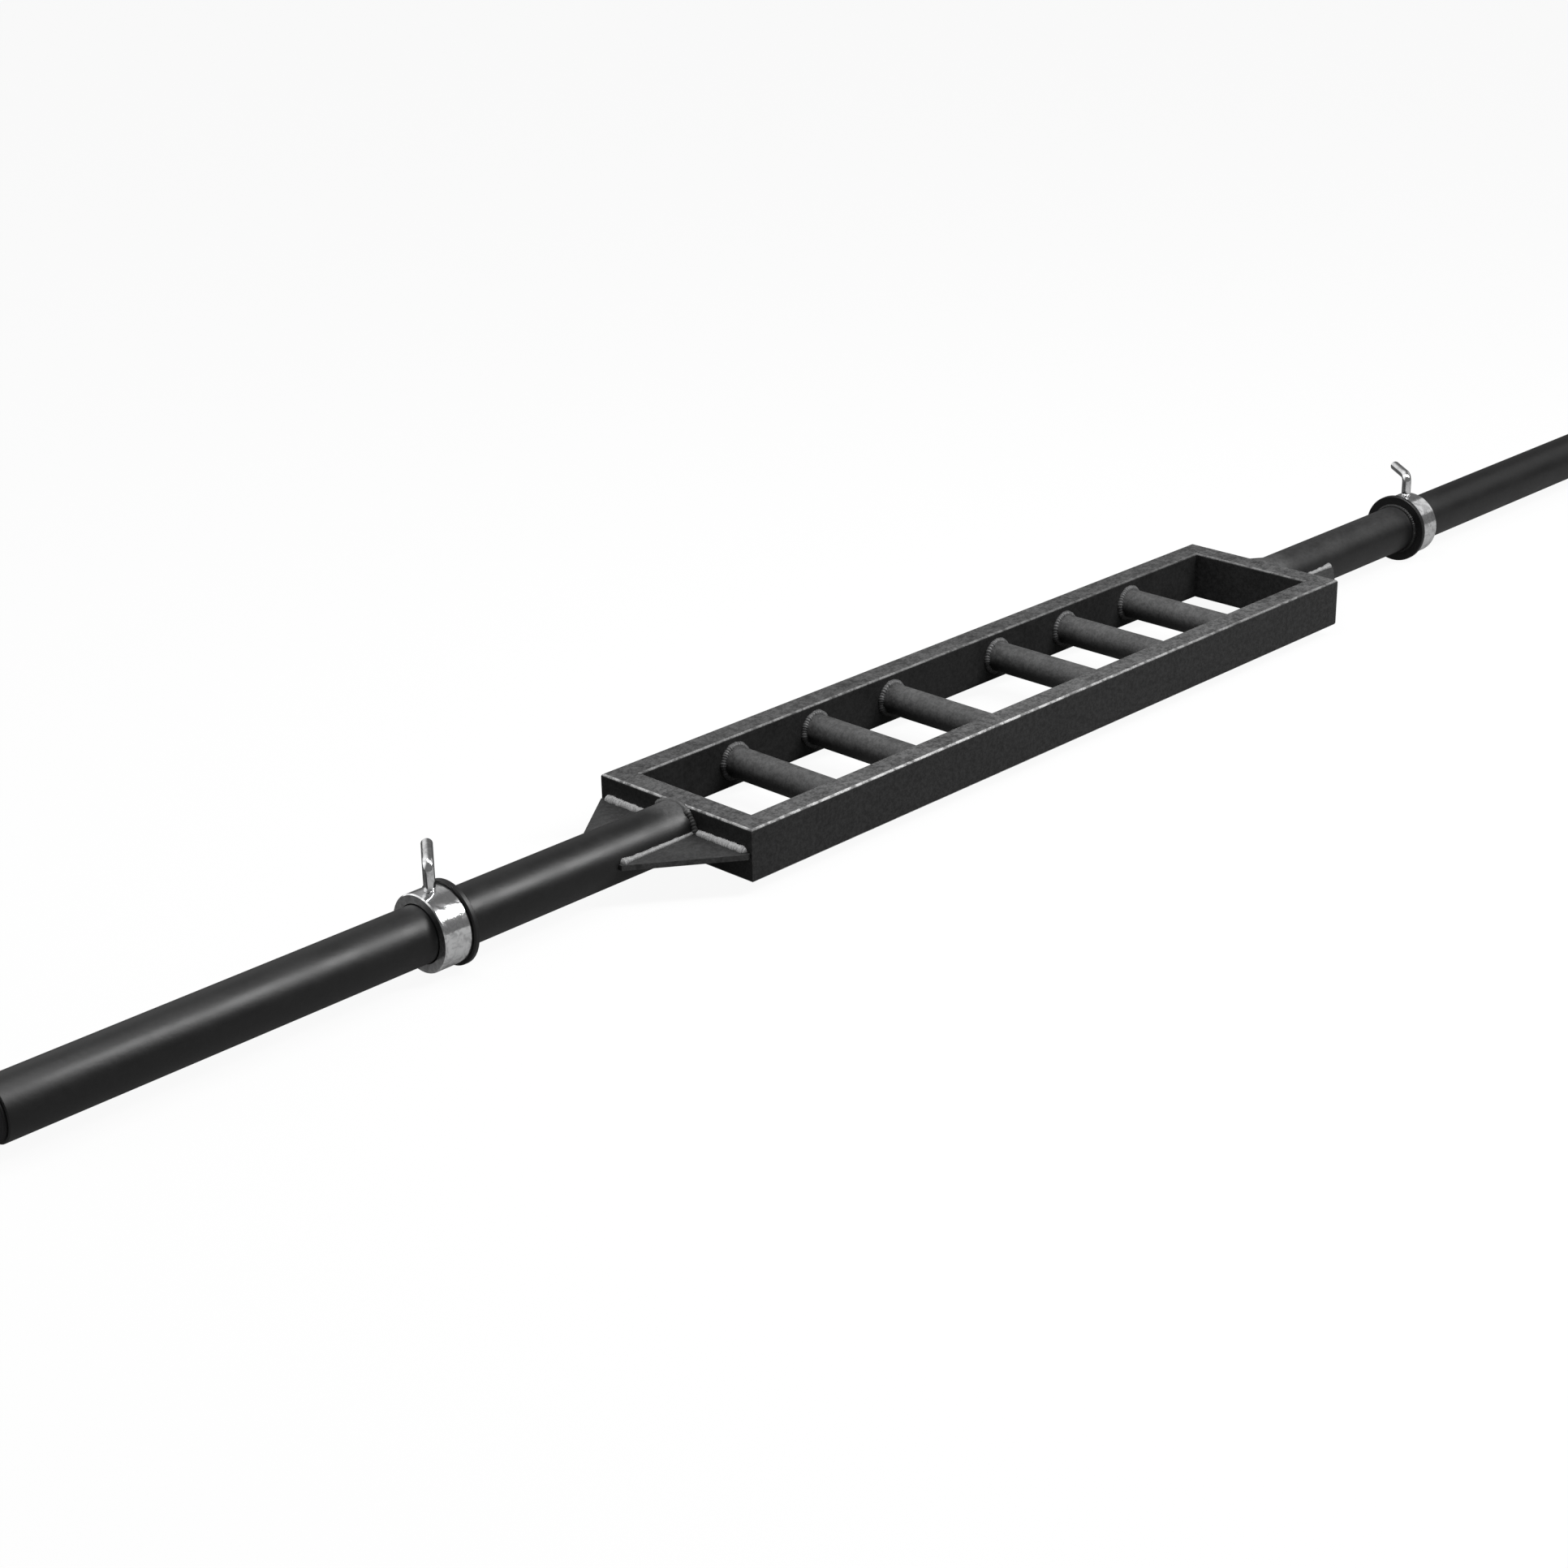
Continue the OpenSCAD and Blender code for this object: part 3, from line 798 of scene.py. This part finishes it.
class BARBELL_OT_welds(bpy.types.Operator):
    """Lays the weld beads at the grips, the tubes' roots, the gussets and the stop rings"""

    bl_idname = "barbell.welds"
    bl_label = "Lay the welds"

    def execute(self, context):
        make_groups()
        coat = context.scene.barbell_coat
        # The grip beads' coat is painted lighter than the frame's, as a painted highlight for the light the
        # beads catch
        skin = coat_material("weld_coat", coat.weld_sheen_colour, **WELD_GRAIN, contrast=0.22,
                             rough=(0.42, 0.6), level=0.45)
        # Lit and shaded copies of one weld coat: painted highlight on the gussets' beads, brightest where
        # the key lamp's shadow falls on them
        bright, pale, root = [coat_material(name, scaled(coat.bright_weld, share), **WELD_GRAIN,
                                            contrast=0.25, rough=(0.36, 0.52), level=0.5)
                              for name, share in WELD_LIGHT_SHARES.items()]
        make_piece("grip_beads", grip_beads(), skin, "bar", ["grip_welds"])
        for label, side in SIDES.items():
            (tube_a, member_a), (tube_b, member_b) = gusset_beads(side, -1), gusset_beads(side, 1)
            for kind, skins, cover in (("root_bead", [root_bead(side)], root),
                                       ("member_beads", member_a + member_b, bright),
                                       ("tube_beads", tube_a + tube_b, pale)):
                make_piece(f"{label}_{kind}", skins, cover, "bar", [f"{label}_end_welds"])
        dark = coat_material("ring_weld_coat", coat.tube_colour, **RING_WELD_GRAIN, contrast=0.22,
                             rough=(0.42, 0.56), level=0.42)
        rings = ring_beads(-1) + ring_beads(1)
        make_piece("stop_ring_beads", rings, dark, "bar", ["stop_ring_welds"])
        return {"FINISHED"}


class BARBELL_OT_collars(bpy.types.Operator):
    """Plates the collars, bends the clamp screws and finishes their shoes"""

    bl_idname = "barbell.collars"
    bl_label = "Plate the collars"

    def execute(self, context):
        make_groups()
        bright = (0.10, 0.20)
        for label, side in SIDES.items():
            low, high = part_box(f"{label}_collar")
            middle = (low.x + high.x) / 2
            turned = zinc_material(f"{label}_collar_plate", (middle, 0, AXIS_Z), bright, 0.00002, 5.0)
            give(turned, f"{label}_collar")
            drawn = zinc_material(f"{label}_screw_plate", (middle, 0, high.z), bright, 0.00001, 2.0)
            make_piece(f"{label}_bent_screw", bent_screw(side), drawn, f"{label}_screw",
                       [f"{label}_clamp_screw"], crease=35)
        give(brass_material(), "left_clamp_shoe", "right_clamp_shoe")
        return {"FINISHED"}


class BARBELL_OT_caps(bpy.types.Operator):
    """Gives the end caps their moulded plastic"""

    bl_idname = "barbell.caps"
    bl_label = "Mould the end caps"

    def execute(self, context):
        give(cap_material(), "left_end_cap", "right_end_cap")
        return {"FINISHED"}


class BARBELL_PT_panel(bpy.types.Panel):
    """Lists the barbell's steps and settings"""

    bl_idname = "BARBELL_PT_panel"
    bl_label = "Barbell"
    bl_space_type = "VIEW_3D"
    bl_region_type = "UI"
    bl_category = "Barbell"

    def draw(self, context):
        for operator in OPERATORS:
            self.layout.operator(operator.bl_idname)
        for name, group in SETTINGS.items():
            box = self.layout.box()
            for prop in group.__annotations__:
                box.prop(getattr(context.scene, name), prop)


OPERATORS = (BARBELL_OT_studio, BARBELL_OT_coat, BARBELL_OT_welds, BARBELL_OT_collars, BARBELL_OT_caps)


# ---------------------------------------------------------------- studio


# Camera fitted to the photograph: turn and rise of the direction back to it,
# its roll, the point that it looks at and its distance from there
CAMERA_ANGLES = [math.radians(degrees) for degrees in (-45.447, 22.741, -1.172)]
CAMERA_TARGET = (-0.29915, 0.0, AXIS_Z - 0.00164)
CAMERA_DISTANCE = 2.60225

# Spot, target and size of each softbox, and the direction of its long side
SOFTBOXES = {
    "overhead": ((-0.60, -0.05, 2.3), (-0.25, 0.0, 0.03), (0.6, 1.3), (1, 0, 0)),
    "key": ((0.75, -1.33, 1.93), (-0.1, 0.0, 0.03), (1.9, 0.46), (0.80, -0.62, 0)),
    "side": ((3.7, -0.75, 2.0), (0.5, 0.0, 0.03), (2.4, 1.4), None),
}

# Direction of the lit wall's middle, and the cosines of the angles from it
# between which the wall fades out
WALL = (-0.30, 0.78, 0.55)
WALL_FADE = (0.45, 1.0)

# Floor's half length, its grey to the camera, its greys to other rays behind and in front of the bar, and
# half the width over which those blend: the darker grey behind is painted shade, the lighter one in front
# painted light
FLOOR_HALF = 25.0
FLOOR_SEEN = 0.85
FLOOR_BEHIND, FLOOR_FRONT = 0.07, 0.21
FLOOR_BLEND = 0.06

# Share of pure white in the floor: to the camera, and to rays off a gloss, behind the bar and how much more
# in front of it; the extra white in front is painted light
WHITE_SEEN = 0.93
WHITE_BEHIND, WHITE_MORE = 0.02, 0.16


def stand(item, right, up, back, spot):
    """Places a camera or lamp by its own three directions and its spot."""
    columns = np.eye(4)
    columns[:3, 0], columns[:3, 1], columns[:3, 2], columns[:3, 3] = right, up, back, spot
    item.matrix_world = Matrix(columns.tolist())


def place_camera(scene, studio):
    """Camera at the angle, distance and slight roll that fit the photograph."""
    turn, rise, roll = CAMERA_ANGLES
    back = np.array([math.sin(turn) * math.cos(rise), -math.cos(turn) * math.cos(rise), math.sin(rise)])
    spot = np.array(CAMERA_TARGET) + CAMERA_DISTANCE * back
    right = np.cross(-back, [0, 0, 1])
    right /= np.linalg.norm(right)
    up = np.cross(right, -back)
    rolled = right * math.cos(roll) + up * math.sin(roll)
    upright = up * math.cos(roll) - right * math.sin(roll)
    data = bpy.data.cameras.new("photo_camera")
    data.sensor_width = 36
    data.lens = studio.lens
    data.clip_start = 0.05
    data.clip_end = 60
    camera = bpy.data.objects.new("photo_camera", data)
    stand(camera, rolled, upright, back, spot)
    scene.collection.objects.link(camera)
    scene.camera = camera


def rays(tree):
    """Whether a ray comes from the camera, and whether off a gloss or through glass."""
    path = tree.nodes.new("ShaderNodeLightPath")
    mirrored = add_math(tree, "MAXIMUM", path.outputs["Is Glossy Ray"], path.outputs["Is Transmission Ray"])
    return path.outputs["Is Camera Ray"], mirrored


def light_room(scene, studio):
    """White to the camera. Everything else sees a dim room with a lit wall behind
    the bar, which fades with the angle from its middle."""
    world = bpy.data.worlds.new("studio_room")
    scene.world = world
    world.use_nodes = True
    tree = world.node_tree
    background = tree.nodes["Background"]
    toward = tree.nodes.new("ShaderNodeVectorMath")
    toward.operation = "DOT_PRODUCT"
    tree.links.new(tree.nodes.new("ShaderNodeTexCoord").outputs["Generated"], toward.inputs[0])
    toward.inputs[1].default_value = WALL
    wall = add_range(tree, toward.outputs["Value"], *WALL_FADE, studio.room_level,
                     studio.room_level + studio.wall_level)
    camera, mirrored = rays(tree)
    room = times(tree, wall, add_math(tree, "MAXIMUM", mirrored, studio.soft_share))
    tree.links.new(add_math(tree, "MAXIMUM", camera, room), background.inputs["Strength"])
    background.inputs["Color"].default_value = (1, 1, 1, 1)


def lay_floor(scene):
    """Square floor at the height that the stop rings stand on. The camera sees it nearly white with the
    object's shadow still in it, and the bar mirrors and catches more of it in front than behind: the floor
    is painted lighter in front of the bar as painted light and darker behind it as painted shade."""
    half = FLOOR_HALF
    mesh = bpy.data.meshes.new("studio_floor")
    corners = [(-half, -half, 0), (half, -half, 0), (half, half, 0), (-half, half, 0)]
    mesh.from_pydata(corners, [], [(0, 1, 2, 3)])
    material = bpy.data.materials.new("studio_floor")
    material.use_nodes = True
    tree = material.node_tree
    tree.nodes.remove(tree.nodes["Principled BSDF"])
    camera, mirrored = rays(tree)
    across = parts_of(tree, tree.nodes.new("ShaderNodeTexCoord").outputs["Object"])[1]
    front = add_range(tree, across, -FLOOR_BLEND, FLOOR_BLEND, 1.0, 0.0)
    painted_floor_shade = add_mix(tree, front, [FLOOR_BEHIND] * 3, [FLOOR_FRONT] * 3)
    diffuse = tree.nodes.new("ShaderNodeBsdfDiffuse")
    tree.links.new(add_mix(tree, camera, painted_floor_shade, [FLOOR_SEEN] * 3), diffuse.inputs["Color"])
    white = tree.nodes.new("ShaderNodeEmission")
    white.inputs["Color"].default_value = (1, 1, 1, 1)
    mirror_share = add_math(tree, "MULTIPLY_ADD", front, WHITE_MORE, WHITE_BEHIND)
    share = add_math(tree, "ADD", times(tree, camera, WHITE_SEEN),
                     times(tree, mirrored, mirror_share), clamp=True)
    mix = tree.nodes.new("ShaderNodeMixShader")
    tree.links.new(share, mix.inputs["Fac"])
    tree.links.new(diffuse.outputs[0], mix.inputs[1])
    tree.links.new(white.outputs[0], mix.inputs[2])
    tree.links.new(mix.outputs[0], tree.nodes["Material Output"].inputs["Surface"])
    mesh.materials.append(material)
    floor = bpy.data.objects.new("studio_floor", mesh)
    scene.collection.objects.link(floor)


def hang_softbox(scene, name, power, spot, target, size, along):
    """Rectangular lamp at a spot, turned to a target. Its long side lies level,
    or as near to a given direction as that lets it."""
    data = bpy.data.lights.new(name, "AREA")
    data.shape = "RECTANGLE"
    data.size, data.size_y = size
    data.energy = power
    lamp = bpy.data.objects.new(name, data)
    away = np.array(spot) - np.array(target)
    away /= np.linalg.norm(away)
    level = np.cross([0, 0, 1], away) if along is None else np.array(along) - np.dot(along, away) * away
    level /= np.linalg.norm(level)
    stand(lamp, level, np.cross(away, level), away, spot)
    scene.collection.objects.link(lamp)


# ---------------------------------------------------------------- run


def register():
    for group in SETTINGS.values():
        bpy.utils.register_class(group)
    for name, group in SETTINGS.items():
        setattr(bpy.types.Scene, name, bpy.props.PointerProperty(type=group))
    for item in (*OPERATORS, BARBELL_PT_panel):
        bpy.utils.register_class(item)


def unregister():
    for item in (BARBELL_PT_panel, *reversed(OPERATORS)):
        bpy.utils.unregister_class(item)
    for name in SETTINGS:
        delattr(bpy.types.Scene, name)
    for group in reversed(SETTINGS.values()):
        bpy.utils.unregister_class(group)


def main():
    register()
    bpy.ops.barbell.studio()
    bpy.ops.barbell.coat()
    bpy.ops.barbell.welds()
    bpy.ops.barbell.collars()
    bpy.ops.barbell.caps()


if __name__ == "__main__":
    main()
